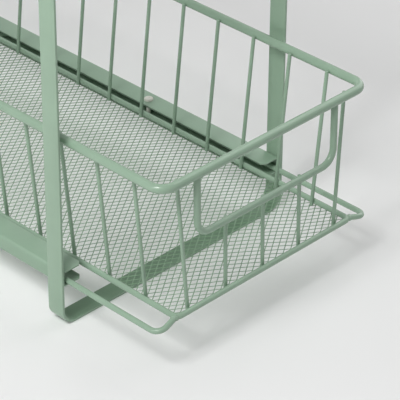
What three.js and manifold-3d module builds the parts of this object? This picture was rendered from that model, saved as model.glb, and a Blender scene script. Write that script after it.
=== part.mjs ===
// Two-tier pull-out organizer: coated steel hoops and rails that carry two sliding wire baskets.
// Millimetres, +Z up. X is the width, and the baskets pull out towards -Y.
// The origin lies on the floor, under the middle of the front hoop's cross bar.

import * as THREE from 'three';
import { mergeGeometries, mergeVertices } from 'three/addons/utils/BufferGeometryUtils.js';
import Module from 'manifold-3d';

const wasm = await Module();
wasm.setup();

// Frame: two hoops of flat strip, each a cross bar on the floor with a leg at both ends
const FRAME_WIDTH = 213.2;
const STRIP_WIDTH = 14.4;
const STRIP_THICKNESS = 1.9;
const HOOP_BEND_RADIUS = 12;
const LEG_TIP_RADIUS = 4;
const LEG_ABOVE_RAIL = 1.5;
const TIER_RISE = 222;

// Clearance between pieces that are welded or lie against each other
const SEAT_GAP = 0.3;

// Rails: folded channels that open towards the basket
const RAIL_LIFT = 30.9;
const RAIL_HEIGHT = 11.8;
const RAIL_FLANGE = 17.2;
const RAIL_SHEET = 1.2;
const RAIL_FOLD_RADIUS = 2.2;
const RAIL_OVERHANG = 6;
const RAIL_CORNER_CUT = 3;

// Stop pegs: nylon buttons pushed through the rails' top flange
const STOP_STEM = 3.6;
const STOP_HEAD = 7;
const STOP_HEAD_RISE = 1.6;
const STOP_HEAD_RIM = 0.5;
const STOP_HOLE_CLEARANCE = 0.3;
const STOP_RUNNER_CLEARANCE = 2.1;
const STOP_RUN_GAP = 0.5;
const FRONT_STOP_FROM_RAIL_END = 123.4;
const REAR_STOP_FROM_RAIL_END = 7;

// Basket rim: a closed loop of thick wire
const RIM_WIRE = 6.3;
const RIM_LENGTH = 367.8;
const RIM_CORNER_RADIUS = 10;
const RIM_LEG_CLEARANCE = 6.4;
const BASKET_HEIGHT = 100;

// Base wire under the uprights, and the uprights themselves
const BASE_WIRE = 4;
const BASE_REACH = 1.2;
const BASE_CORNER_RADIUS = 4;
const BASE_RETURN = 1.5;
const BASE_RAIL_CLEARANCE = 2;
const UPRIGHT_WIRE = 2.7;
const UPRIGHT_TIP_RISE = 0.5;
const WELD_SINK = 0.4;
const SIDE_UPRIGHTS = 10;
const SIDE_UPRIGHT_INSET = 30.7;
const END_UPRIGHTS = 5;
const END_FOOT_INSET = 12.8;
const END_TOP_INSET = 16.6;

// Handle: a U of wire hung from the rim's front run, which leaves a hand hole
const HANDLE_WIRE = 4.8;
const HANDLE_INSET = 30.7;
const HANDLE_DROP = 46;
const HANDLE_CORNER_RADIUS = 11;

// Runner wires that slide in the rails
const RUNNER_WIRE = 4;
const RUNNER_WEB_CLEARANCE = 0.8;
const RUNNER_BEND_RADIUS = 5;
const RUNNER_REACH = 2.2;
const RUNNER_END_REACH = 0.3;
const BASE_ABOVE_RUNNER = 4.25;

// Floor: expanded sheet, drawn here with a coarser diamond than the real one
const FLOOR_SHEET = 0.8;
const FLOOR_EDGE = 1;
const FLOOR_BORDER = 5;
const FLOOR_STRAND = 3;
const FLOOR_CELLS_ACROSS = 6;
const FLOOR_CELLS_ALONG = 20;

// How far each basket stands out of the frame
const LOWER_PULL_OUT = 85.8;
const UPPER_PULL_OUT = 0;

// Facets of round wires, bends and pegs
const WIRE_SIDES = 10;
const UPRIGHT_SIDES = 6;
const BEND_STEPS = 6;
const FOLD_STEPS = 3;
const DOME_STEPS = 3;
const PEG_SIDES = 12;

// Finishes
const SAGE_COAT = 0x8fb096;
const STOP_NYLON = 0xd5d2c6;

// Frame places, worked out from the sizes above
const legInside = FRAME_WIDTH / 2 - STRIP_THICKNESS;
const railWeb = legInside - SEAT_GAP;
const railEdge = railWeb - RAIL_FLANGE;
const railFront = -RAIL_OVERHANG;
const railSeat = RAIL_LIFT + RAIL_SHEET;

// Basket places, counted from the basket's own middle at the runner wires' height
const runnerRadius = RUNNER_WIRE / 2;
const baseRadius = BASE_WIRE / 2;
const rimRadius = RIM_WIRE / 2;
const handleRadius = HANDLE_WIRE / 2;
const uprightRadius = UPRIGHT_WIRE / 2;
const runnerX = railWeb - RAIL_SHEET - RUNNER_WEB_CLEARANCE - runnerRadius;
const runnerY = RIM_LENGTH / 2 + RUNNER_REACH;
const baseX = railEdge - BASE_RAIL_CLEARANCE - baseRadius;
const baseY = RIM_LENGTH / 2 + BASE_REACH;
const baseZ = BASE_ABOVE_RUNNER;
const rimX = legInside - RIM_LEG_CLEARANCE - rimRadius;
const rimY = RIM_LENGTH / 2;
const rimZ = baseZ + BASKET_HEIGHT;
const footZ = baseZ - baseRadius;
const footInset = baseRadius + uprightRadius - WELD_SINK;

// The runner wire's rear leg decides where the baskets stop
const closedBasketY = rimY + rimRadius - STRIP_WIDTH / 2;
const stopX = runnerX - runnerRadius - STOP_RUNNER_CLEARANCE - STOP_STEM / 2;
const runnerRear = closedBasketY + runnerY + runnerRadius;
const frontStopY = railFront + FRONT_STOP_FROM_RAIL_END;
const rearStopY = runnerRear + STOP_RUN_GAP + STOP_STEM / 2;
const railRear = rearStopY + REAR_STOP_FROM_RAIL_END;
const rearHoopY = railRear - RAIL_OVERHANG;

function finish(color, roughness, metalness) {
  return new THREE.MeshStandardMaterial({ color, roughness, metalness });
}

const sageCoat = () => finish(SAGE_COAT, 0.5, 0.1);
const stopNylon = () => finish(STOP_NYLON, 0.55, 0);

function named(name, geometry, material) {
  const mesh = new THREE.Mesh(geometry, material);
  mesh.name = name;
  return mesh;
}

// A path given by its knots, so that a bend has exactly the rings that it needs
class KnotPath extends THREE.Curve {
  constructor(knots, closed) {
    super();
    this.knots = knots;
    this.closed = closed;
    this.steps = closed ? knots.length : knots.length - 1;
  }

  knot(index) {
    const count = this.knots.length;
    const place = this.closed ? (index + count) % count : THREE.MathUtils.clamp(index, 0, count - 1);
    return this.knots[place];
  }

  getPointAt(share) {
    return this.knot(Math.round(share * this.steps)).clone();
  }

  getTangentAt(share) {
    const index = Math.round(share * this.steps);
    const here = this.knot(index);
    const arriving = here.clone().sub(this.knot(index - 1)).normalize();
    const leaving = this.knot(index + 1).clone().sub(here).normalize();
    return arriving.add(leaving).normalize();
  }
}

// Knots of a bent wire: straight runs between the corners, and an arc at each corner
function bentWire(corners, radius, closed) {
  const knots = [];
  const count = corners.length;
  corners.forEach((corner, index) => {
    if (!closed && (index === 0 || index === count - 1)) {
      knots.push(corner.clone());
      return;
    }
    const back = corners[(index + count - 1) % count].clone().sub(corner).normalize();
    const onward = corners[(index + 1) % count].clone().sub(corner).normalize();
    const half = back.angleTo(onward) / 2;
    const inward = back.clone().add(onward).normalize();
    const centre = inward.multiplyScalar(radius / Math.sin(half)).add(corner);
    const start = back.clone().multiplyScalar(radius / Math.tan(half)).add(corner).sub(centre);
    const axis = new THREE.Vector3().crossVectors(onward, back).normalize();
    const turn = Math.PI - 2 * half;
    for (let step = 0; step <= BEND_STEPS; step += 1) {
      const spoke = start.clone().applyAxisAngle(axis, (turn * step) / BEND_STEPS);
      knots.push(spoke.add(centre));
    }
  });
  return knots;
}

function roundSection(radius, sides) {
  const points = [];
  for (let side = 0; side < sides; side += 1) {
    const angle = (2 * Math.PI * side) / sides;
    points.push(new THREE.Vector2(radius * Math.cos(angle), radius * Math.sin(angle)));
  }
  return new THREE.Shape(points);
}

// A wire with two cut ends
function openWire(knots, radius, sides) {
  const path = new KnotPath(knots, false);
  const section = roundSection(radius, sides);
  return new THREE.ExtrudeGeometry(section, { steps: path.steps, extrudePath: path });
}

// A wire loop whose ends are welded together
function wireLoop(knots, radius, sides) {
  const path = new KnotPath(knots, true);
  return new THREE.TubeGeometry(path, path.steps, radius, sides, true);
}

// A flat shape given a thickness
function extruded(shape, depth, curveSegments) {
  return new THREE.ExtrudeGeometry(shape, { depth, curveSegments, bevelEnabled: false });
}

function toSolid(geometry) {
  const bare = geometry.clone();
  bare.deleteAttribute('normal');
  bare.deleteAttribute('uv');
  const merged = mergeVertices(bare);
  const vertProperties = new Float32Array(merged.getAttribute('position').array);
  const triVerts = new Uint32Array(merged.getIndex().array);
  return new wasm.Manifold(new wasm.Mesh({ numProp: 3, vertProperties, triVerts }));
}

function toGeometry(solid) {
  const mesh = solid.getMesh();
  const geometry = new THREE.BufferGeometry();
  geometry.setAttribute('position', new THREE.BufferAttribute(mesh.vertProperties, 3));
  geometry.setIndex(new THREE.BufferAttribute(mesh.triVerts, 1));
  geometry.computeVertexNormals();
  return geometry;
}

function joined(geometries) {
  return toGeometry(geometries.map(toSolid).reduce((sum, solid) => sum.add(solid)));
}

// A flat strip bent into a U: cross bar on the floor, a leg at each side, rounded leg tips
function hoopGeometry() {
  const legTop = TIER_RISE + RAIL_LIFT + RAIL_HEIGHT + LEG_ABOVE_RAIL;
  const outside = FRAME_WIDTH / 2;
  const innerRadius = HOOP_BEND_RADIUS - STRIP_THICKNESS;
  const bend = outside - HOOP_BEND_RADIUS;
  const outline = new THREE.Shape();
  outline.moveTo(-outside, legTop);
  outline.lineTo(-outside, HOOP_BEND_RADIUS);
  outline.absarc(-bend, HOOP_BEND_RADIUS, HOOP_BEND_RADIUS, Math.PI, 1.5 * Math.PI, false);
  outline.absarc(bend, HOOP_BEND_RADIUS, HOOP_BEND_RADIUS, 1.5 * Math.PI, 2 * Math.PI, false);
  outline.lineTo(outside, legTop);
  outline.lineTo(legInside, legTop);
  outline.absarc(bend, HOOP_BEND_RADIUS, innerRadius, 2 * Math.PI, 1.5 * Math.PI, true);
  outline.absarc(-bend, HOOP_BEND_RADIUS, innerRadius, 1.5 * Math.PI, Math.PI, true);
  outline.lineTo(-legInside, legTop);
  const strip = extruded(outline, STRIP_WIDTH, BEND_STEPS);
  strip.translate(0, 0, -STRIP_WIDTH / 2).rotateX(Math.PI / 2);

  const side = STRIP_WIDTH / 2;
  const tipX = side - LEG_TIP_RADIUS;
  const tipZ = legTop - LEG_TIP_RADIUS;
  const tip = new THREE.Shape();
  tip.moveTo(-side, -STRIP_THICKNESS);
  tip.lineTo(side, -STRIP_THICKNESS);
  tip.absarc(tipX, tipZ, LEG_TIP_RADIUS, 0, Math.PI / 2, false);
  tip.absarc(-tipX, tipZ, LEG_TIP_RADIUS, Math.PI / 2, Math.PI, false);
  const sideView = extruded(tip, 2 * FRAME_WIDTH, BEND_STEPS);
  sideView.translate(0, 0, -FRAME_WIDTH).rotateX(Math.PI / 2).rotateZ(Math.PI / 2);
  return toGeometry(toSolid(strip).intersect(toSolid(sideView)));
}

// A folded channel with its web against the legs; side is -1 for the left rail and 1 for the right
function railGeometry(side) {
  const innerFold = RAIL_FOLD_RADIUS - RAIL_SHEET;
  const low = RAIL_FOLD_RADIUS;
  const high = RAIL_HEIGHT - RAIL_FOLD_RADIUS;
  const fold = railWeb - RAIL_FOLD_RADIUS;
  const section = new THREE.Shape();
  section.moveTo(railEdge, 0);
  section.absarc(fold, low, RAIL_FOLD_RADIUS, -Math.PI / 2, 0, false);
  section.absarc(fold, high, RAIL_FOLD_RADIUS, 0, Math.PI / 2, false);
  section.lineTo(railEdge, RAIL_HEIGHT);
  section.lineTo(railEdge, RAIL_HEIGHT - RAIL_SHEET);
  section.absarc(fold, high, innerFold, Math.PI / 2, 0, true);
  section.absarc(fold, low, innerFold, 0, -Math.PI / 2, true);
  section.lineTo(railEdge, RAIL_SHEET);
  const channel = extruded(section, railRear - railFront, FOLD_STEPS);
  channel.rotateX(Math.PI / 2).translate(0, railRear, 0);

  const cutSide = RAIL_CORNER_CUT * Math.SQRT2;
  const corner = new THREE.BoxGeometry(cutSide, cutSide, 2 * RAIL_HEIGHT);
  corner.rotateZ(Math.PI / 4).translate(0, 0, RAIL_HEIGHT / 2);
  const holeRadius = STOP_STEM / 2 + STOP_HOLE_CLEARANCE;
  const hole = new THREE.CylinderGeometry(holeRadius, holeRadius, 2 * RAIL_SHEET, PEG_SIDES);
  hole.rotateX(Math.PI / 2).translate(stopX, 0, RAIL_HEIGHT - RAIL_SHEET / 2);
  let rail = toSolid(channel);
  [railFront, railRear].forEach((y) => {
    rail = rail.subtract(toSolid(corner.clone().translate(railEdge, y, 0)));
  });
  [frontStopY, rearStopY].forEach((y) => {
    const along = side > 0 ? y : railFront + railRear - y;
    rail = rail.subtract(toSolid(hole.clone().translate(0, along, 0)));
  });
  const geometry = toGeometry(rail);
  return side > 0 ? geometry : geometry.rotateZ(Math.PI).translate(0, railFront + railRear, 0);
}

// A domed button with a stem that reaches down to the channel's lower flange
function stopGeometry() {
  const stem = STOP_STEM / 2;
  const head = STOP_HEAD / 2;
  const bottom = RAIL_SHEET + SEAT_GAP;
  const seat = RAIL_HEIGHT + SEAT_GAP;
  const brim = seat + STOP_HEAD_RIM;
  const dome = STOP_HEAD_RISE - STOP_HEAD_RIM;
  const profile = [new THREE.Vector2(0, bottom), new THREE.Vector2(stem, bottom)];
  profile.push(new THREE.Vector2(stem, seat), new THREE.Vector2(head, seat));
  for (let step = 0; step < DOME_STEPS; step += 1) {
    const angle = ((Math.PI / 2) * step) / DOME_STEPS;
    profile.push(new THREE.Vector2(head * Math.cos(angle), brim + dome * Math.sin(angle)));
  }
  profile.push(new THREE.Vector2(0, brim + dome));
  return new THREE.LatheGeometry(profile, PEG_SIDES).rotateX(Math.PI / 2);
}

function rimGeometry() {
  const corners = [
    new THREE.Vector3(-rimX, -rimY, rimZ),
    new THREE.Vector3(rimX, -rimY, rimZ),
    new THREE.Vector3(rimX, rimY, rimZ),
    new THREE.Vector3(-rimX, rimY, rimZ),
  ];
  return wireLoop(bentWire(corners, RIM_CORNER_RADIUS, true), rimRadius, WIRE_SIDES);
}

// The front panel leans: its distance from the basket's middle at a given height
function panelY(height) {
  return THREE.MathUtils.mapLinear(height, baseZ, rimZ, baseY, rimY);
}

const handleX = rimX - HANDLE_INSET;
const handleZ = rimZ - HANDLE_DROP;
const handleY = panelY(handleZ);

function handleGeometry() {
  const top = rimZ - rimRadius - SEAT_GAP;
  const corners = [
    new THREE.Vector3(-handleX, -panelY(top), top),
    new THREE.Vector3(-handleX, -handleY, handleZ),
    new THREE.Vector3(handleX, -handleY, handleZ),
    new THREE.Vector3(handleX, -panelY(top), top),
  ];
  return openWire(bentWire(corners, HANDLE_CORNER_RADIUS, false), handleRadius, WIRE_SIDES);
}

function upright(foot, tip) {
  return openWire([foot, tip], uprightRadius, UPRIGHT_SIDES);
}

// A side grille: its base wire with a row of uprights welded to the inside
function sideGrilleGeometry(side) {
  const end = baseY - BASE_CORNER_RADIUS - BASE_RETURN - SEAT_GAP;
  const run = [new THREE.Vector3(side * baseX, -end, baseZ), new THREE.Vector3(side * baseX, end, baseZ)];
  const wires = [openWire(run, baseRadius, WIRE_SIDES)];
  const first = SIDE_UPRIGHT_INSET - rimY;
  const pitch = (-2 * first) / (SIDE_UPRIGHTS - 1);
  const footX = side * (baseX - footInset);
  const tipX = side * (rimX - rimRadius - uprightRadius - SEAT_GAP);
  for (let index = 0; index < SIDE_UPRIGHTS; index += 1) {
    const y = first + index * pitch;
    const foot = new THREE.Vector3(footX, y, footZ);
    wires.push(upright(foot, new THREE.Vector3(tipX, y, rimZ + UPRIGHT_TIP_RISE)));
  }
  return joined(wires);
}

// An end grille: base wire with both corners, and uprights; behind a handle the middle ones stop short
function endGrilleGeometry(end, hasHandle) {
  const back = baseY - BASE_CORNER_RADIUS - BASE_RETURN;
  const corners = [
    new THREE.Vector3(-baseX, end * back, baseZ),
    new THREE.Vector3(-baseX, end * baseY, baseZ),
    new THREE.Vector3(baseX, end * baseY, baseZ),
    new THREE.Vector3(baseX, end * back, baseZ),
  ];
  const wires = [openWire(bentWire(corners, BASE_CORNER_RADIUS, false), baseRadius, WIRE_SIDES)];
  const outerFoot = baseX - END_FOOT_INSET;
  const outerTip = rimX - END_TOP_INSET;
  const tipGap = uprightRadius + SEAT_GAP;
  for (let index = 0; index < END_UPRIGHTS; index += 1) {
    const share = (2 * index) / (END_UPRIGHTS - 1) - 1;
    const isOuter = index === 0 || index === END_UPRIGHTS - 1;
    const foot = new THREE.Vector3(share * outerFoot, end * (baseY - footInset), footZ);
    const tip = new THREE.Vector3(isOuter ? share * outerTip : foot.x, 0, 0);
    if (hasHandle && !isOuter) {
      tip.y = end * (handleY - handleRadius - tipGap);
      tip.z = handleZ + UPRIGHT_TIP_RISE;
    } else {
      tip.y = end * (rimY - rimRadius - tipGap);
      tip.z = rimZ + UPRIGHT_TIP_RISE;
    }
    wires.push(upright(foot, tip));
  }
  return joined(wires);
}

// A runner wire: a long run in the rail, with both ends bent in and up to the base wire's corners
function runnerGeometry(side) {
  const endY = rimY + RUNNER_END_REACH;
  const cornerReach = BASE_CORNER_RADIUS + baseRadius + SEAT_GAP;
  const pastBend = endY - runnerRadius - baseY + BASE_CORNER_RADIUS;
  const endX = baseX - BASE_CORNER_RADIUS + Math.sqrt(cornerReach * cornerReach - pastBend * pastBend);
  const corners = [
    new THREE.Vector3(side * endX, -endY, baseZ),
    new THREE.Vector3(side * runnerX, -runnerY, 0),
    new THREE.Vector3(side * runnerX, runnerY, 0),
    new THREE.Vector3(side * endX, endY, baseZ),
  ];
  return openWire(bentWire(corners, RUNNER_BEND_RADIUS, false), runnerRadius, WIRE_SIDES);
}

// The expanded floor sheet lies under the base wire and has staggered rows of diamond openings
function floorGeometry() {
  const width = 2 * (baseX + FLOOR_EDGE);
  const length = 2 * (baseY + FLOOR_EDGE);
  const cellX = (width - 2 * FLOOR_BORDER) / FLOOR_CELLS_ACROSS;
  const cellY = (length - 2 * FLOOR_BORDER) / FLOOR_CELLS_ALONG;
  const slope = Math.hypot(cellX, cellY);
  const openX = (cellX - (FLOOR_STRAND * slope) / cellY) / 2;
  const openY = (cellY - (FLOOR_STRAND * slope) / cellX) / 2;
  const diamond = new THREE.Shape();
  diamond.moveTo(-openX, 0);
  diamond.lineTo(0, -openY);
  diamond.lineTo(openX, 0);
  diamond.lineTo(0, openY);
  const punch = extruded(diamond, 2 * FLOOR_SHEET, 1).translate(0, 0, -FLOOR_SHEET);
  const punches = [];
  for (let row = 1; row < 2 * FLOOR_CELLS_ALONG; row += 1) {
    const y = (row * cellY - length) / 2 + FLOOR_BORDER;
    const columns = row % 2 === 0 ? FLOOR_CELLS_ACROSS - 1 : FLOOR_CELLS_ACROSS;
    for (let column = 0; column < columns; column += 1) {
      const x = (column - (columns - 1) / 2) * cellX;
      punches.push(punch.clone().translate(x, y, 0));
    }
  }
  const sheet = toSolid(new THREE.BoxGeometry(width, length, FLOOR_SHEET));
  const floor = toGeometry(sheet.subtract(toSolid(mergeGeometries(punches))));
  return floor.translate(0, 0, footZ - SEAT_GAP - FLOOR_SHEET / 2);
}

function basket(tier, pullOut) {
  const group = new THREE.Group();
  const add = (name, geometry, material) => group.add(named(`${tier}_${name}`, geometry, material));
  add('basket_rim', rimGeometry(), sageCoat());
  add('basket_handle', handleGeometry(), sageCoat());
  add('basket_front_grille', endGrilleGeometry(-1, true), sageCoat());
  add('basket_rear_grille', endGrilleGeometry(1, false), sageCoat());
  add('basket_left_grille', sideGrilleGeometry(-1), sageCoat());
  add('basket_right_grille', sideGrilleGeometry(1), sageCoat());
  add('basket_floor', floorGeometry(), sageCoat());
  add('basket_left_runner', runnerGeometry(-1), sageCoat());
  add('basket_right_runner', runnerGeometry(1), sageCoat());
  group.position.set(0, closedBasketY - pullOut, railSeat + SEAT_GAP + runnerRadius);
  return group;
}

// One pair of rails with their stop pegs, at the height of the tier's rails
function railPair(tier) {
  const group = new THREE.Group();
  [['left', -1], ['right', 1]].forEach(([hand, side]) => {
    group.add(named(`${tier}_${hand}_rail`, railGeometry(side), sageCoat()));
    [['front', frontStopY], ['rear', rearStopY]].forEach(([end, y]) => {
      const peg = named(`${tier}_${hand}_${end}_stop`, stopGeometry(), stopNylon());
      peg.position.set(side * stopX, y, 0);
      group.add(peg);
    });
  });
  group.position.z = RAIL_LIFT;
  return group;
}

function tier(name, rise, pullOut) {
  const group = new THREE.Group();
  group.add(railPair(name), basket(name, pullOut));
  group.position.z = rise;
  return group;
}

const frontHoop = named('front_hoop', hoopGeometry(), sageCoat());
const rearHoop = named('rear_hoop', hoopGeometry(), sageCoat());
rearHoop.position.y = rearHoopY;

const organizer = new THREE.Group();
organizer.add(frontHoop, rearHoop);
organizer.add(tier('lower', 0, LOWER_PULL_OUT), tier('upper', TIER_RISE, UPPER_PULL_OUT));

export default organizer;
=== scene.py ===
import math

import bmesh
import bpy
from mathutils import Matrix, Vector


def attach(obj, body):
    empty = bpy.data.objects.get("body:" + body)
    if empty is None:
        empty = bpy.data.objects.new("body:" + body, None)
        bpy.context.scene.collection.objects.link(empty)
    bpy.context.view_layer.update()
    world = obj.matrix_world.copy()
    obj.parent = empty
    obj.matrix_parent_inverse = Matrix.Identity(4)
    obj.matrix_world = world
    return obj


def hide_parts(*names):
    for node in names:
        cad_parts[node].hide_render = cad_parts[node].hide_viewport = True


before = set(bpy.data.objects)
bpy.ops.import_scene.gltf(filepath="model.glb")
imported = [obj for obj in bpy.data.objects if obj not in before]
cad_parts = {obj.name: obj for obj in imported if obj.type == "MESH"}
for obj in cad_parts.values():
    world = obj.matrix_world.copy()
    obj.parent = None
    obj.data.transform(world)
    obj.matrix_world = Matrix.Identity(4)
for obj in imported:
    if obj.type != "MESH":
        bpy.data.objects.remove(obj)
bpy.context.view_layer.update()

# Camera: a long lens that looks down on the front left corner of the pulled-out lower basket.
# It stands where a fit to the photograph's straight edges puts it.
camera_place = (-0.9422, -0.9523, 0.9032)
camera_tilt, camera_roll, camera_heading = math.radians(57.51), math.radians(-0.394), math.radians(-45.34)
bpy.ops.object.camera_add(location=camera_place, rotation=(camera_tilt, camera_roll, camera_heading))
camera = bpy.context.object
camera.data.sensor_width = 36
camera.data.lens = 208.48
camera.data.clip_end = 50
bpy.context.scene.camera = camera


# Studio: a matt paper floor with a painted pool of light under the frame, that fades far out into an even pale
# backdrop.
# Three small softboxes on the left are the key light, a large one on the right and one behind are fill,
# and a dim surround lights the object from all round.
def combined(tree, operation, first, second):
    """The output of a math node fed with two sockets, or with a socket and a number."""
    node = tree.nodes.new("ShaderNodeMath")
    node.operation = operation
    for value, socket in zip((first, second), node.inputs):
        if isinstance(value, float):
            socket.default_value = value
        else:
            tree.links.new(value, socket)
    return node.outputs[0]


def seen_rays(tree):
    """A mask that is 1 for what the camera sees straight on, in a gloss or through something clear."""
    light_path = tree.nodes.new("ShaderNodeLightPath")
    mask = light_path.outputs["Is Camera Ray"]
    for ray in ("Is Glossy Ray", "Is Transmission Ray"):
        mask = combined(tree, "MAXIMUM", mask, light_path.outputs[ray])
    return mask


def eased(tree, value, start, end, first=0, last=1):
    """A value that eases from first to last while the given one goes from start to end."""
    step = tree.nodes.new("ShaderNodeMapRange")
    step.interpolation_type = "SMOOTHSTEP"
    for socket, number in (("From Min", start), ("From Max", end), ("To Min", first), ("To Max", last)):
        step.inputs[socket].default_value = number
    tree.links.new(value, step.inputs["Value"])
    return step.outputs["Result"]


bpy.context.scene.view_settings.view_transform = "Standard"
floor_size = 14
frame_middle = (0, 0.19, 0)
painted_light_pool_level, paper_around = 0.97, 0.825
light_pool_start, light_pool_end = 0.08, 0.34
paper_fade_start, paper_fade_end = 0.9, 2.6
backdrop_level = 0.7
room_level = 0.2
light_target = Vector((0, 0.05, 0.05))

bpy.ops.object.select_all(action="DESELECT")
bpy.ops.mesh.primitive_plane_add(size=floor_size)
studio_floor = bpy.context.object
studio_floor.name = "studio_floor"
floor_paper = bpy.data.materials.new("floor paper")
floor_paper.use_nodes = True
paper_tree = floor_paper.node_tree
paper_nodes, paper_links = paper_tree.nodes, paper_tree.links
paper_shader = paper_nodes["Principled BSDF"]
paper_shader.inputs["Roughness"].default_value = 0.9
paper_shader.inputs["Specular IOR Level"].default_value = 0.2
paper_place = paper_nodes.new("ShaderNodeTexCoord")
paper_distance = paper_nodes.new("ShaderNodeVectorMath")
paper_distance.operation = "DISTANCE"
paper_distance.inputs[1].default_value = frame_middle
paper_links.new(paper_place.outputs["Object"], paper_distance.inputs[0])
# Painted light: the paper is painted paler in a pool round the frame's middle, easing out to its plain tone.
painted_light_pool = eased(paper_tree, paper_distance.outputs["Value"], light_pool_start, light_pool_end,
                   painted_light_pool_level, paper_around)
paper_links.new(painted_light_pool, paper_shader.inputs["Base Color"])
paper_fade = eased(paper_tree, paper_distance.outputs["Value"], paper_fade_start, paper_fade_end)
far_paper = paper_nodes.new("ShaderNodeEmission")
far_paper.inputs["Strength"].default_value = backdrop_level
paper_mix = paper_nodes.new("ShaderNodeMixShader")
paper_links.new(combined(paper_tree, "MULTIPLY", paper_fade, seen_rays(paper_tree)), paper_mix.inputs["Fac"])
paper_links.new(paper_shader.outputs["BSDF"], paper_mix.inputs[1])
paper_links.new(far_paper.outputs["Emission"], paper_mix.inputs[2])
paper_links.new(paper_mix.outputs["Shader"], paper_nodes["Material Output"].inputs["Surface"])
studio_floor.data.materials.append(floor_paper)

for softbox_place, softbox_size, softbox_power in (
    ((-1.09, -0.14, 1.47), 0.5, 14.2),
    ((-1.58, 0.22, 0.9), 0.5, 4.9),
    ((-0.91, -0.43, 1.52), 0.5, 5),
    ((1.97, 0.05, 1.43), 2.4, 28),
    ((0.0, 2.02, 1.43), 2.4, 10.5),
):
    bpy.ops.object.light_add(type="AREA", location=softbox_place)
    softbox = bpy.context.object
    softbox.data.shape = "SQUARE"
    softbox.data.size = softbox_size
    softbox.data.energy = softbox_power
    softbox.rotation_euler = (light_target - softbox.location).to_track_quat("-Z", "Y").to_euler()
    softbox.visible_camera = False

surround = bpy.data.worlds.new("surround")
surround.use_nodes = True
surround_nodes, surround_links = surround.node_tree.nodes, surround.node_tree.links
room_light = surround_nodes["Background"]
room_light.inputs["Color"].default_value = (1, 1, 1, 1)
room_light.inputs["Strength"].default_value = room_level
backdrop = surround_nodes.new("ShaderNodeBackground")
backdrop.inputs["Color"].default_value = (1, 1, 1, 1)
backdrop.inputs["Strength"].default_value = backdrop_level
surround_mix = surround_nodes.new("ShaderNodeMixShader")
surround_links.new(seen_rays(surround.node_tree), surround_mix.inputs["Fac"])
surround_links.new(room_light.outputs["Background"], surround_mix.inputs[1])
surround_links.new(backdrop.outputs["Background"], surround_mix.inputs[2])
surround_links.new(surround_mix.outputs["Shader"], surround_nodes["World Output"].inputs["Surface"])
bpy.context.scene.world = surround


# Hoops: flat steel strip, cold-bent to a U whose cross bar lies on the floor, with rounded leg tips and soft edges.
# The strip carries a satin sage powder coat with a fine orange peel. The upward faces of the cross bar are painted
# darker, a painted shade for the shadow that the basket above casts on them.
def pick(kind, test):
    """Selects, in edit mode, only those vertices, edges or faces whose middle passes the test."""
    bpy.ops.mesh.select_mode(type=kind)
    bpy.ops.mesh.select_all(action="DESELECT")
    shape = bmesh.from_edit_mesh(bpy.context.object.data)
    parts = {"VERT": shape.verts, "EDGE": shape.edges, "FACE": shape.faces}[kind]
    for part in parts:
        corners = [part] if kind == "VERT" else part.verts
        middle = sum((corner.co for corner in corners), Vector()) / len(corners)
        part.select_set(bool(test(middle)))
    bmesh.update_edit_mesh(bpy.context.object.data)


def finish_with(piece, kind, **values):
    """Adds a modifier with these values and applies it."""
    bpy.context.view_layer.objects.active = piece
    modifier = piece.modifiers.new(kind.lower(), kind)
    for key, value in values.items():
        setattr(modifier, key, value)
    bpy.ops.object.modifier_apply(modifier=modifier.name)


def moved_copy(piece, name, shift=(0, 0, 0), turn=0):
    """A copy with its own mesh, turned about the upright axis and then shifted."""
    bpy.ops.object.select_all(action="DESELECT")
    piece.select_set(True)
    bpy.context.view_layer.objects.active = piece
    bpy.ops.object.duplicate(linked=False)
    copy = bpy.context.object
    copy.name = copy.data.name = name
    copy.rotation_euler.z = turn
    copy.location = shift
    bpy.ops.object.transform_apply(location=True, rotation=True, scale=True)
    return copy


powder_group = bpy.data.node_groups.new("powder coat", "ShaderNodeTree")
for socket_name, way, kind in (
    ("Colour", "INPUT", "NodeSocketColor"),
    ("Peel Scale", "INPUT", "NodeSocketFloat"),
    ("Roughness", "INPUT", "NodeSocketFloat"),
    ("Colour", "OUTPUT", "NodeSocketColor"),
    ("Roughness", "OUTPUT", "NodeSocketFloat"),
    ("Height", "OUTPUT", "NodeSocketFloat"),
):
    powder_group.interface.new_socket(socket_name, in_out=way, socket_type=kind)
powder_nodes, powder_links = powder_group.nodes, powder_group.links
powder_in = powder_nodes.new("NodeGroupInput")
powder_out = powder_nodes.new("NodeGroupOutput")
powder_place = powder_nodes.new("ShaderNodeTexCoord")
orange_peel = powder_nodes.new("ShaderNodeTexNoise")
orange_peel.inputs["Detail"].default_value = 2
powder_links.new(powder_place.outputs["Object"], orange_peel.inputs["Vector"])
powder_links.new(powder_in.outputs["Peel Scale"], orange_peel.inputs["Scale"])
powder_links.new(orange_peel.outputs["Fac"], powder_out.inputs["Height"])
thin_places = powder_nodes.new("ShaderNodeTexNoise")
thin_places.inputs["Scale"].default_value = 45
thin_places.inputs["Detail"].default_value = 3
powder_links.new(powder_place.outputs["Object"], thin_places.inputs["Vector"])
shade_range = powder_nodes.new("ShaderNodeMapRange")
shade_range.inputs["From Min"].default_value = 0.3
shade_range.inputs["From Max"].default_value = 0.7
shade_range.inputs["To Min"].default_value = 0.96
shade_range.inputs["To Max"].default_value = 1.04
powder_links.new(thin_places.outputs["Fac"], shade_range.inputs["Value"])
shaded_coat = powder_nodes.new("ShaderNodeMix")
shaded_coat.data_type = "RGBA"
shaded_coat.blend_type = "MULTIPLY"
shaded_coat.inputs["Factor"].default_value = 1
powder_links.new(powder_in.outputs["Colour"], shaded_coat.inputs[6])
powder_links.new(shade_range.outputs["Result"], shaded_coat.inputs[7])
powder_links.new(shaded_coat.outputs[2], powder_out.inputs["Colour"])
uneven_gloss = combined(powder_group, "MULTIPLY", powder_in.outputs["Roughness"], shade_range.outputs["Result"])
powder_links.new(uneven_gloss, powder_out.inputs["Roughness"])


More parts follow.
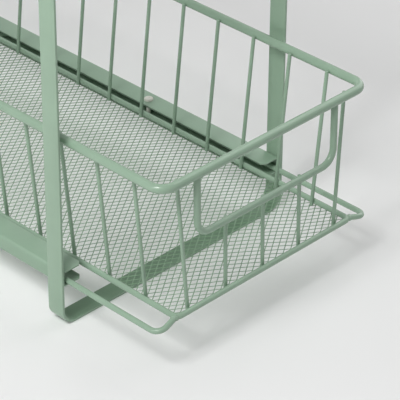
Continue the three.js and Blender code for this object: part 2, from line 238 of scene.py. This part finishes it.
def powder_coat(name, colour, roughness, peel_scale, peel_depth):
    """Satin powder coat: even colour, slightly uneven gloss and the fine orange peel of baked powder."""
    coat = bpy.data.materials.new(name)
    coat.use_nodes = True
    nodes, links = coat.node_tree.nodes, coat.node_tree.links
    shader = nodes["Principled BSDF"]
    powder = nodes.new("ShaderNodeGroup")
    powder.node_tree = powder_group
    powder.inputs["Colour"].default_value = colour
    powder.inputs["Roughness"].default_value = roughness
    powder.inputs["Peel Scale"].default_value = peel_scale
    skin = nodes.new("ShaderNodeBump")
    skin.inputs["Strength"].default_value = 0.4
    skin.inputs["Distance"].default_value = peel_depth
    shader.inputs["Specular IOR Level"].default_value = 0.5
    links.new(powder.outputs["Colour"], shader.inputs["Base Color"])
    links.new(powder.outputs["Roughness"], shader.inputs["Roughness"])
    links.new(powder.outputs["Height"], skin.inputs["Height"])
    links.new(skin.outputs["Normal"], shader.inputs["Normal"])
    return coat


strip_colour = (0.286, 0.408, 0.303, 1)
bar_painted_shade_colour = (0.157, 0.26, 0.17, 1)
bar_top_limit = 0.05
strip_coat = powder_coat("strip coat", strip_colour, 0.34, 700, 0.00008)
strip_tree = strip_coat.node_tree
strip_nodes, strip_links = strip_tree.nodes, strip_tree.links
strip_place = strip_nodes.new("ShaderNodeTexCoord")
strip_facing = strip_nodes.new("ShaderNodeSeparateXYZ")
strip_links.new(strip_place.outputs["Normal"], strip_facing.inputs["Vector"])
strip_height = strip_nodes.new("ShaderNodeSeparateXYZ")
strip_links.new(strip_place.outputs["Object"], strip_height.inputs["Vector"])
faces_up = strip_nodes.new("ShaderNodeMapRange")
faces_up.inputs["From Min"].default_value = 0.2
faces_up.inputs["From Max"].default_value = 0.95
strip_links.new(strip_facing.outputs["Z"], faces_up.inputs["Value"])
# Painted shade: upward faces low down, on the cross bar, take the darker bar colour.
is_bar = combined(strip_tree, "LESS_THAN", strip_height.outputs["Z"], bar_top_limit)
strip_painted_shade = strip_nodes.new("ShaderNodeMix")
strip_painted_shade.data_type = "RGBA"
strip_painted_shade.inputs[6].default_value = strip_colour
strip_painted_shade.inputs[7].default_value = bar_painted_shade_colour
strip_links.new(combined(strip_tree, "MULTIPLY", faces_up.outputs["Result"], is_bar), strip_painted_shade.inputs["Factor"])
strip_links.new(strip_painted_shade.outputs[2], strip_nodes["Group"].inputs["Colour"])

strip_width = 0.0144
strip_thickness = 0.0019
strip_middle = 0.1066 - strip_thickness / 2
strip_edge = 0.00045
hoop_bend = 0.012 - strip_thickness / 2
leg_top = 0.2662
leg_tip = 0.004
rear_hoop_y = 0.37125
tolerance = 1e-5
sharp_angle = math.radians(50)
smooth_angle = math.radians(35)

bpy.ops.object.select_all(action="DESELECT")
bpy.ops.mesh.primitive_plane_add(size=1, location=(0, 0, strip_thickness / 2))
front_hoop = bpy.context.object
front_hoop.name = front_hoop.data.name = "front_hoop_strip"
front_hoop.scale = (2 * strip_middle, strip_width, 1)
bpy.ops.object.transform_apply(location=True, rotation=True, scale=True)
bpy.ops.object.mode_set(mode="EDIT")
pick("EDGE", lambda middle: abs(middle.x) > strip_middle - tolerance)
bpy.ops.mesh.extrude_region_move(TRANSFORM_OT_translate={"value": (0, 0, leg_top - strip_thickness / 2)})
pick("VERT", lambda middle: middle.z > leg_top - tolerance)
bpy.ops.mesh.bevel(offset=leg_tip, segments=6, affect="VERTICES")
pick("EDGE", lambda middle: abs(middle.x) > strip_middle - tolerance
     and abs(middle.z - strip_thickness / 2) < tolerance)
bpy.ops.mesh.bevel(offset=hoop_bend, segments=16, affect="EDGES")
bpy.ops.object.mode_set(mode="OBJECT")
finish_with(front_hoop, "SOLIDIFY", thickness=strip_thickness, offset=0, use_even_offset=True)
finish_with(front_hoop, "BEVEL", width=strip_edge, segments=3, limit_method="ANGLE", angle_limit=sharp_angle)
bpy.ops.object.shade_smooth_by_angle(angle=smooth_angle)
front_hoop.data.materials.append(strip_coat)
rear_hoop = moved_copy(front_hoop, "rear_hoop_strip", (0, rear_hoop_y, 0))
for hoop, node in ((front_hoop, "front_hoop"), (rear_hoop, "rear_hoop")):
    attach(hoop, "frame")
    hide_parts(node)

# Rails: sheet steel folded to a channel that opens towards the basket, its flange corners clipped, its web
# projection-welded to the inside of each leg. The same sage coat covers it, with painted shade inside the channel
# and darker painted shade on the flanges' cut edges next to the basket, where they lie in deep shadow.
rail_coat = powder_coat("rail coat", (0.264, 0.386, 0.283, 1), 0.36, 750, 0.00008)
sheared_edge_painted_shade = powder_coat("sheared edge painted shade", (0.13, 0.195, 0.14, 1), 0.5, 750, 0.00008)
channel_painted_shade = powder_coat("recess coat", (0.21, 0.31, 0.225, 1), 0.5, 750, 0.00008)
rail_sheet = 0.0012
rail_web = 0.1044 - rail_sheet / 2
rail_edge = 0.0872
rail_low, rail_high = 0.0309 + rail_sheet / 2, 0.0427 - rail_sheet / 2
rail_front, rail_rear = -0.006, 0.37725
rail_fold = 0.0022 - rail_sheet / 2
rail_clip = 0.003
rail_rounding = 0.0003
sheared_depth = 0.00035
recess_margin = 0.0003
weld_radius = 0.0028
weld_depth = 0.0005
weld_x = 0.10455
tier_rise = 0.222

bpy.ops.object.select_all(action="DESELECT")
bpy.ops.mesh.primitive_plane_add(
    size=1,
    location=(rail_web, (rail_front + rail_rear) / 2, (rail_low + rail_high) / 2),
    rotation=(0, math.pi / 2, 0))
right_rail = bpy.context.object
right_rail.name = right_rail.data.name = "lower_right_channel"
right_rail.scale = (rail_high - rail_low, rail_rear - rail_front, 1)
bpy.ops.object.transform_apply(location=True, rotation=True, scale=True)
bpy.ops.object.mode_set(mode="EDIT")
pick("EDGE", lambda middle: middle.z > rail_high - tolerance or middle.z < rail_low + tolerance)
bpy.ops.mesh.extrude_region_move(TRANSFORM_OT_translate={"value": (rail_edge - rail_web, 0, 0)})
pick("VERT", lambda middle: middle.x < rail_edge + tolerance)
bpy.ops.mesh.bevel(offset=rail_clip, segments=1, affect="VERTICES")
pick("EDGE", lambda middle: middle.x > rail_web - tolerance
     and not rail_low + tolerance < middle.z < rail_high - tolerance)
bpy.ops.mesh.bevel(offset=rail_fold, segments=6, affect="EDGES")
bpy.ops.mesh.select_all(action="SELECT")
bpy.ops.mesh.normals_make_consistent(inside=False)
bpy.ops.object.mode_set(mode="OBJECT")
finish_with(right_rail, "SOLIDIFY", thickness=rail_sheet, offset=0, use_even_offset=True)
finish_with(right_rail, "BEVEL", width=rail_rounding, segments=2, limit_method="ANGLE", angle_limit=sharp_angle)
for coat in (rail_coat, sheared_edge_painted_shade, channel_painted_shade):
    right_rail.data.materials.append(coat)
bpy.ops.object.mode_set(mode="EDIT")
# Painted shade: the flanges' sheared edges towards the basket, which lie in deep shadow.
pick("FACE", lambda middle: middle.x < rail_edge + sheared_depth)
right_rail.active_material_index = 1
bpy.ops.object.material_slot_assign()
# Painted shade: the faces inside the channel.
pick("FACE", lambda middle: middle.x < rail_web - recess_margin
     and rail_low + recess_margin < middle.z < rail_high - recess_margin)
right_rail.active_material_index = 2
bpy.ops.object.material_slot_assign()
bpy.ops.object.mode_set(mode="OBJECT")
rail_welds = []
for leg_y in (0, rear_hoop_y):
    bpy.ops.object.select_all(action="DESELECT")
    bpy.ops.mesh.primitive_cylinder_add(
        vertices=24, radius=weld_radius, depth=weld_depth,
        location=(weld_x, leg_y, (rail_low + rail_high) / 2), rotation=(0, math.pi / 2, 0))
    rail_welds.append(bpy.context.object)
bpy.ops.object.select_all(action="DESELECT")
for part in (*rail_welds, right_rail):
    part.select_set(True)
bpy.context.view_layer.objects.active = right_rail
bpy.ops.object.join()
bpy.ops.object.shade_smooth_by_angle(angle=smooth_angle)
left_rail = moved_copy(right_rail, "lower_left_channel", (0, rail_front + rail_rear, 0), math.pi)
rails = {
    "lower_right_rail": right_rail,
    "lower_left_rail": left_rail,
    "upper_right_rail": moved_copy(right_rail, "upper_right_channel", (0, 0, tier_rise)),
    "upper_left_rail": moved_copy(left_rail, "upper_left_channel", (0, 0, tier_rise)),
}
for node, rail in rails.items():
    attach(rail, "frame")
    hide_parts(node)

# Stop pegs: off-white nylon buttons, moulded with a low dome and a gate mark, pushed through the rail's top flange.
# The stem stands behind the runner wire's bent end and keeps the basket from leaving the rail.
stop_nylon = bpy.data.materials.new("stop nylon")
stop_nylon.use_nodes = True
nylon_nodes, nylon_links = stop_nylon.node_tree.nodes, stop_nylon.node_tree.links
nylon_shader = nylon_nodes["Principled BSDF"]
nylon_shader.inputs["Roughness"].default_value = 0.5
nylon_place = nylon_nodes.new("ShaderNodeTexCoord")
nylon_cloud = nylon_nodes.new("ShaderNodeTexNoise")
nylon_cloud.inputs["Scale"].default_value = 350
nylon_links.new(nylon_place.outputs["Object"], nylon_cloud.inputs["Vector"])
nylon_tint = nylon_nodes.new("ShaderNodeValToRGB")
nylon_tint.color_ramp.elements[0].color = (0.62, 0.62, 0.55, 1)
nylon_tint.color_ramp.elements[1].color = (0.72, 0.72, 0.66, 1)
nylon_links.new(nylon_cloud.outputs["Fac"], nylon_tint.inputs["Fac"])
nylon_links.new(nylon_tint.outputs["Color"], nylon_shader.inputs["Base Color"])
nylon_skin = nylon_nodes.new("ShaderNodeBump")
nylon_skin.inputs["Strength"].default_value = 0.3
nylon_skin.inputs["Distance"].default_value = 0.0001
nylon_links.new(nylon_cloud.outputs["Fac"], nylon_skin.inputs["Height"])
nylon_links.new(nylon_skin.outputs["Normal"], nylon_shader.inputs["Normal"])

stop_x, front_stop_y, rear_stop_y = 0.0945, 0.1174, 0.37025
stop_head = 0.0035
stop_stem = 0.0018
stop_seat = 0.0427
stop_rise = 0.0019
stop_dome = 0.0012
stem_end = 0.0324
gate_inset, gate_lip, gate_depth = 0.0013, 0.0002, 0.00025
round_angle = math.radians(40)

bpy.ops.object.select_all(action="DESELECT")
bpy.ops.mesh.primitive_cylinder_add(
    vertices=32, radius=stop_head, depth=stop_rise, location=(stop_x, front_stop_y, stop_seat + stop_rise / 2))
right_stop = bpy.context.object
right_stop.name = right_stop.data.name = "lower_right_front_button"
bpy.ops.object.transform_apply(location=True, rotation=True, scale=True)
bpy.ops.object.mode_set(mode="EDIT")
pick("FACE", lambda middle: middle.z < stop_seat + tolerance)
bpy.ops.mesh.inset(thickness=stop_head - stop_stem, depth=0)
bpy.ops.mesh.extrude_region_move(TRANSFORM_OT_translate={"value": (0, 0, stem_end - stop_seat)})
pick("FACE", lambda middle: middle.z > stop_seat + stop_rise - tolerance)
bpy.ops.mesh.bevel(offset=stop_dome, segments=6, affect="EDGES")
pick("FACE", lambda middle: middle.z > stop_seat + stop_rise - tolerance)
bpy.ops.mesh.inset(thickness=gate_inset, depth=0)
bpy.ops.mesh.inset(thickness=gate_lip, depth=-gate_depth)
bpy.ops.mesh.select_all(action="SELECT")
bpy.ops.mesh.normals_make_consistent(inside=False)
bpy.ops.object.mode_set(mode="OBJECT")
bpy.ops.object.shade_smooth_by_angle(angle=round_angle)
right_stop.data.materials.append(stop_nylon)
stops = {"lower_right_front_stop": right_stop}
for level, rise in (("lower", 0), ("upper", tier_rise)):
    for hand, across in (("right", 0), ("left", -2 * stop_x)):
        for end, along in (("front", 0), ("rear", rear_stop_y - front_stop_y)):
            node = f"{level}_{hand}_{end}_stop"
            if node not in stops:
                stops[node] = moved_copy(right_stop, f"{level}_{hand}_{end}_button", (across, along, rise))
for node, stop in stops.items():
    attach(stop, "frame")
    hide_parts(node)


# Base wire: one loop of drawn wire, bent tightly at four corners and butt-welded, that carries the floor and uprights.
# All the basket's wires are bright-drawn steel, welded first and then coated together.
def bent_wire(name, corners, bend, radius, sides=20, bend_steps=8, closed=False):
    """A round wire drawn from corner to corner: each run is extruded, and each corner is spun to its bend radius."""
    corners = [Vector(corner) for corner in corners]
    heading = corners[1] - corners[0]
    bpy.ops.object.select_all(action="DESELECT")
    bpy.ops.mesh.primitive_circle_add(
        vertices=sides, radius=radius, fill_type="NOTHING" if closed else "NGON",
        location=corners[0], rotation=heading.to_track_quat("Z", "Y").to_euler())
    wire = bpy.context.object
    wire.name = wire.data.name = name
    bpy.ops.object.transform_apply(location=True, rotation=True, scale=True)
    bpy.ops.object.mode_set(mode="EDIT")
    bpy.ops.mesh.select_mode(type="VERT")
    bpy.ops.mesh.select_all(action="SELECT")
    here = corners[0]
    for before, corner, after in zip(corners, corners[1:], corners[2:]):
        arriving, leaving = (corner - before).normalized(), (after - corner).normalized()
        turn = arriving.angle(leaving)
        reach = bend * math.tan(turn / 2)
        bend_start = corner - reach * arriving
        bend_axis = arriving.cross(leaving).normalized()
        bend_centre = bend_start + bend * bend_axis.cross(arriving)
        bpy.ops.mesh.extrude_region_move(TRANSFORM_OT_translate={"value": bend_start - here})
        bpy.ops.mesh.spin(steps=bend_steps, angle=-turn, center=bend_centre, axis=bend_axis)
        here = corner + reach * leaving
    bpy.ops.mesh.extrude_region_move(TRANSFORM_OT_translate={"value": corners[-1] - here})
    bpy.ops.mesh.select_all(action="SELECT")
    bpy.ops.mesh.remove_doubles(threshold=merge_distance)
    bpy.ops.mesh.normals_make_consistent(inside=False)
    bpy.ops.object.mode_set(mode="OBJECT")
    if not closed:
        finish_with(wire, "BEVEL", width=radius / 4, segments=2, limit_method="ANGLE", angle_limit=cut_angle)
    bpy.ops.object.shade_smooth_by_angle(angle=round_angle)
    return wire


def joined(name, parts):
    """One piece made of several welded wires."""
    bpy.ops.object.select_all(action="DESELECT")
    for part in parts:
        part.select_set(True)
    bpy.context.view_layer.objects.active = parts[0]
    bpy.ops.object.join()
    parts[0].name = parts[0].data.name = name
    return parts[0]


def loop_corners(half_x, half_y, z):
    """The corners of a level loop that starts and ends in the middle of the basket's rear run."""
    return [(0, basket_y + half_y, z), (-half_x, basket_y + half_y, z), (-half_x, basket_y - half_y, z),
            (half_x, basket_y - half_y, z), (half_x, basket_y + half_y, z), (0, basket_y + half_y, z)]


wire_coat = powder_coat("wire coat", (0.275, 0.395, 0.292, 1), 0.16, 800, 0.00006)
cut_angle = math.radians(60)
merge_distance = 1e-6
basket_y = 0.09405
base_x, base_y, base_z = 0.0832, 0.1851, 0.03865
base_wire = 0.002
base_bend = 0.004
base_loop = bent_wire("lower_base_loop", loop_corners(base_x, base_y, base_z), base_bend, base_wire, closed=True)
base_loop.data.materials.append(wire_coat)
lower_basket = {base_loop: ("front_grille", "rear_grille", "left_grille", "right_grille")}

# Rim: a loop of thicker wire with round corners, butt-welded at the back, that stiffens the basket's mouth.
# It is welded to the tips of the uprights and has the same coat.
rim_x, rim_y, rim_z = 0.09515, 0.1839, 0.13865
rim_wire = 0.00315
rim_bend = 0.01
rim = bent_wire("lower_rim_loop", loop_corners(rim_x, rim_y, rim_z), rim_bend, rim_wire,
                sides=28, bend_steps=12, closed=True)
rim.data.materials.append(wire_coat)
lower_basket[rim] = ("rim",)

# Side uprights: ten thin straight wires a side, spot-welded to the inside of the base wire and of the rim,
# cut flush so that their tips hide behind the rim. They lean outwards with the basket's flare.
upright_wire = 0.00135
upright_sides = 14
weld_sink = 0.0002
behind_base = base_wire + upright_wire - weld_sink
behind_rim = rim_wire + upright_wire - weld_sink
foot_z = base_z - base_wire
tip_rise = 0.0005
side_inset = 0.0307
side_count = 10
side_pitch = 2 * (rim_y - side_inset) / (side_count - 1)
for hand, side in (("right", 1), ("left", -1)):
    foot = Vector((side * (base_x - behind_base), basket_y - rim_y + side_inset, foot_z))
    tip = Vector((side * (rim_x - behind_rim), foot.y, rim_z + tip_rise))
    row = bent_wire(f"lower_{hand}_uprights", [foot, tip], 0, upright_wire, sides=upright_sides)
    finish_with(row, "ARRAY", count=side_count, use_relative_offset=False, use_constant_offset=True,
                constant_offset_displace=(0, side_pitch, 0))
    row.data.materials.append(wire_coat)
    lower_basket[row] = (f"{hand}_grille",)

# Front and rear uprights: five a panel. The outer two fan out to the rim near its corners. At the front the middle
# three stop behind the handle, so that a hand fits over them; at the back all five reach the rim.
handle_x, handle_z = 0.06445, 0.09265
handle_wire = 0.0024
handle_y = rim_y + (base_y - rim_y) * (rim_z - handle_z) / (rim_z - base_z)
behind_handle = handle_wire + upright_wire - weld_sink
outer_foot, outer_tip = 0.0704, 0.07855
for end, front in (("front", -1), ("rear", 1)):
    wires = []
    for share in (-1, -0.5, 0, 0.5, 1):
        foot = Vector((share * outer_foot, basket_y + front * (base_y - behind_base), foot_z))
        tip = Vector((foot.x, basket_y + front * (rim_y - behind_rim), rim_z + tip_rise))
        if abs(share) == 1:
            tip.x = share * outer_tip
        elif end == "front":
            tip.y = basket_y + front * (handle_y - behind_handle)
            tip.z = handle_z + tip_rise
        wires.append(bent_wire(f"{end}_upright", [foot, tip], 0, upright_wire, sides=upright_sides))
    panel = joined(f"lower_{end}_uprights", wires)
    panel.data.materials.append(wire_coat)
    lower_basket[panel] = (f"{end}_grille",)

# Handle: a U of wire whose legs are welded under the rim's front run, which leaves a hole for the hand.
# Its grip is welded to the middle three uprights of the front panel, and it has the same coat.
handle_bend = 0.011
handle_top = rim_z - 0.5 * rim_wire
handle = bent_wire(
    "lower_handle_bow",
    [(-handle_x, basket_y - rim_y, handle_top), (-handle_x, basket_y - handle_y, handle_z),
     (handle_x, basket_y - handle_y, handle_z), (handle_x, basket_y - rim_y, handle_top)],
    handle_bend, handle_wire, sides=24, bend_steps=12)
handle.data.materials.append(wire_coat)
lower_basket[handle] = ("handle",)

# Runners: a wire along each side that slides in the rail, its ends bent in and up and welded to the base wire.
# A flattened bead of weld, coated over, covers each end.
runner_x, runner_y, runner_z = 0.1004, 0.1862, 0.0344
runner_end_x, runner_end_y = 0.0845, 0.1842
runner_bend = 0.007
weld_bead = 0.0024
bead_shape = (1.25, 0.9, 0.92)
bead_turn = math.radians(-40)
for hand, side in (("right", 1), ("left", -1)):
    runner = bent_wire(
        f"lower_{hand}_slide_wire",
        [(side * runner_end_x, basket_y - runner_end_y, base_z), (side * runner_x, basket_y - runner_y, runner_z),
         (side * runner_x, basket_y + runner_y, runner_z), (side * runner_end_x, basket_y + runner_end_y, base_z)],
        runner_bend, base_wire, bend_steps=10)
    beads = []
    for front in (-1, 1):
        bpy.ops.object.select_all(action="DESELECT")
        bpy.ops.mesh.primitive_uv_sphere_add(
            segments=16, ring_count=10, radius=weld_bead,
            location=(side * runner_end_x, basket_y + front * runner_end_y, base_z),
            rotation=(0, 0, side * front * bead_turn))
        bead = bpy.context.object
        bead.scale = bead_shape
        bpy.ops.object.transform_apply(location=True, rotation=True, scale=True)
        bpy.ops.object.shade_smooth()
        beads.append(bead)
    runner = joined(runner.name, [runner, *beads])
    runner.data.materials.append(wire_coat)
    lower_basket[runner] = (f"{hand}_runner",)

# Floor: flattened expanded metal, slit and stretched from thin sheet into small diamonds, trimmed to size and
# spot-welded under the base wire. The sheet is held only at its edge and bows up a little near the front.
# Painted shade: the mesh coat is darker than the wire coat, standing in for the shade on the thin strands' sides.
mesh_painted_shade_coat = powder_coat("mesh painted shade coat", (0.165, 0.285, 0.172, 1), 0.35, 900, 0.00005)
diamond_long, diamond_short = 0.0075, 0.005
diamonds_across, diamonds_along = 24, 78
strand = 0.00096
strand_thickness = 0.00055
sheet_middle = 0.0363
sheet_x, sheet_y = 0.0828, 0.1847
crown_height, crown_reach = 0.004, 0.08
crest_half_width, crest_start = 0.004, -0.01
crest_ends = (0.02, 0.06, 0.1, 0.14, 0.2)
left_edge, front_edge = -diamonds_across * diamond_long / 2, basket_y - diamonds_along * diamond_short / 2


def is_even_cell(middle):
    """Whether a half cell lies on the checkerboard's dark squares, whose strand runs the other way."""
    column = math.floor((middle.x - left_edge) / (diamond_long / 2))
    row = math.floor((middle.y - front_edge) / (diamond_short / 2))
    return (column + row) % 2 == 0


bpy.ops.object.select_all(action="DESELECT")
bpy.ops.mesh.primitive_grid_add(
    x_subdivisions=2 * diamonds_across, y_subdivisions=2 * diamonds_along, size=1,
    location=(0, basket_y, sheet_middle))
mesh_floor = bpy.context.object
mesh_floor.name = mesh_floor.data.name = "lower_mesh_floor"
mesh_floor.scale = (diamonds_across * diamond_long, diamonds_along * diamond_short, 1)
bpy.ops.object.transform_apply(location=True, rotation=True, scale=True)
bpy.ops.object.mode_set(mode="EDIT")
pick("FACE", is_even_cell)
bpy.ops.mesh.quads_convert_to_tris(quad_method="FIXED")
bpy.ops.mesh.select_mode(type="FACE")
bpy.ops.mesh.select_all(action="SELECT")
bpy.ops.mesh.quads_convert_to_tris(quad_method="FIXED_ALTERNATE")
bpy.ops.mesh.select_mode(type="EDGE")
bpy.ops.mesh.select_all(action="DESELECT")
slit_sheet = bmesh.from_edit_mesh(mesh_floor.data)
for edge in slit_sheet.edges:
    run = edge.verts[1].co - edge.verts[0].co
    edge.select_set(not edge.is_boundary and min(abs(run.x), abs(run.y)) < tolerance)
bmesh.update_edit_mesh(mesh_floor.data)
bpy.ops.mesh.dissolve_edges(use_verts=True)
bpy.ops.object.mode_set(mode="OBJECT")
finish_with(mesh_floor, "WIREFRAME", thickness=strand, use_even_offset=False, use_boundary=True)
bpy.ops.object.mode_set(mode="EDIT")
bpy.ops.mesh.select_all(action="SELECT")
bpy.ops.transform.resize(value=(1, 1, strand_thickness / strand), center_override=(0, basket_y, sheet_middle))
for side, reach in (((1, 0, 0), sheet_x), ((-1, 0, 0), sheet_x), ((0, 1, 0), sheet_y), ((0, -1, 0), sheet_y)):
    bpy.ops.mesh.select_all(action="SELECT")
    bpy.ops.mesh.bisect(
        plane_co=Vector((0, basket_y, 0)) + reach * Vector(side), plane_no=side, clear_outer=True, use_fill=True)
for crest_end in crest_ends:
    pick("VERT", lambda middle: abs(middle.x) < crest_half_width and crest_start < middle.y < crest_end)
    bpy.ops.transform.translate(
        value=(0, 0, crown_height / len(crest_ends)), use_proportional_edit=True,
        proportional_edit_falloff="INVERSE_SQUARE", proportional_size=crown_reach)
bpy.ops.object.mode_set(mode="OBJECT")
mesh_floor.data.materials.append(mesh_painted_shade_coat)
lower_basket[mesh_floor] = ("floor",)

# Upper basket: the same welded and coated basket again, pushed home on the upper rails.
# Its pieces are copies of the lower basket's, and each basket rides on its own slide.
lower_pulled_out = 0.0858
for piece, nodes in lower_basket.items():
    twin = moved_copy(piece, piece.name.replace("lower", "upper"), (0, lower_pulled_out, tier_rise))
    for level, wirework in (("lower", piece), ("upper", twin)):
        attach(wirework, f"{level}_basket")
        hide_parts(*[f"{level}_basket_{node}" for node in nodes])
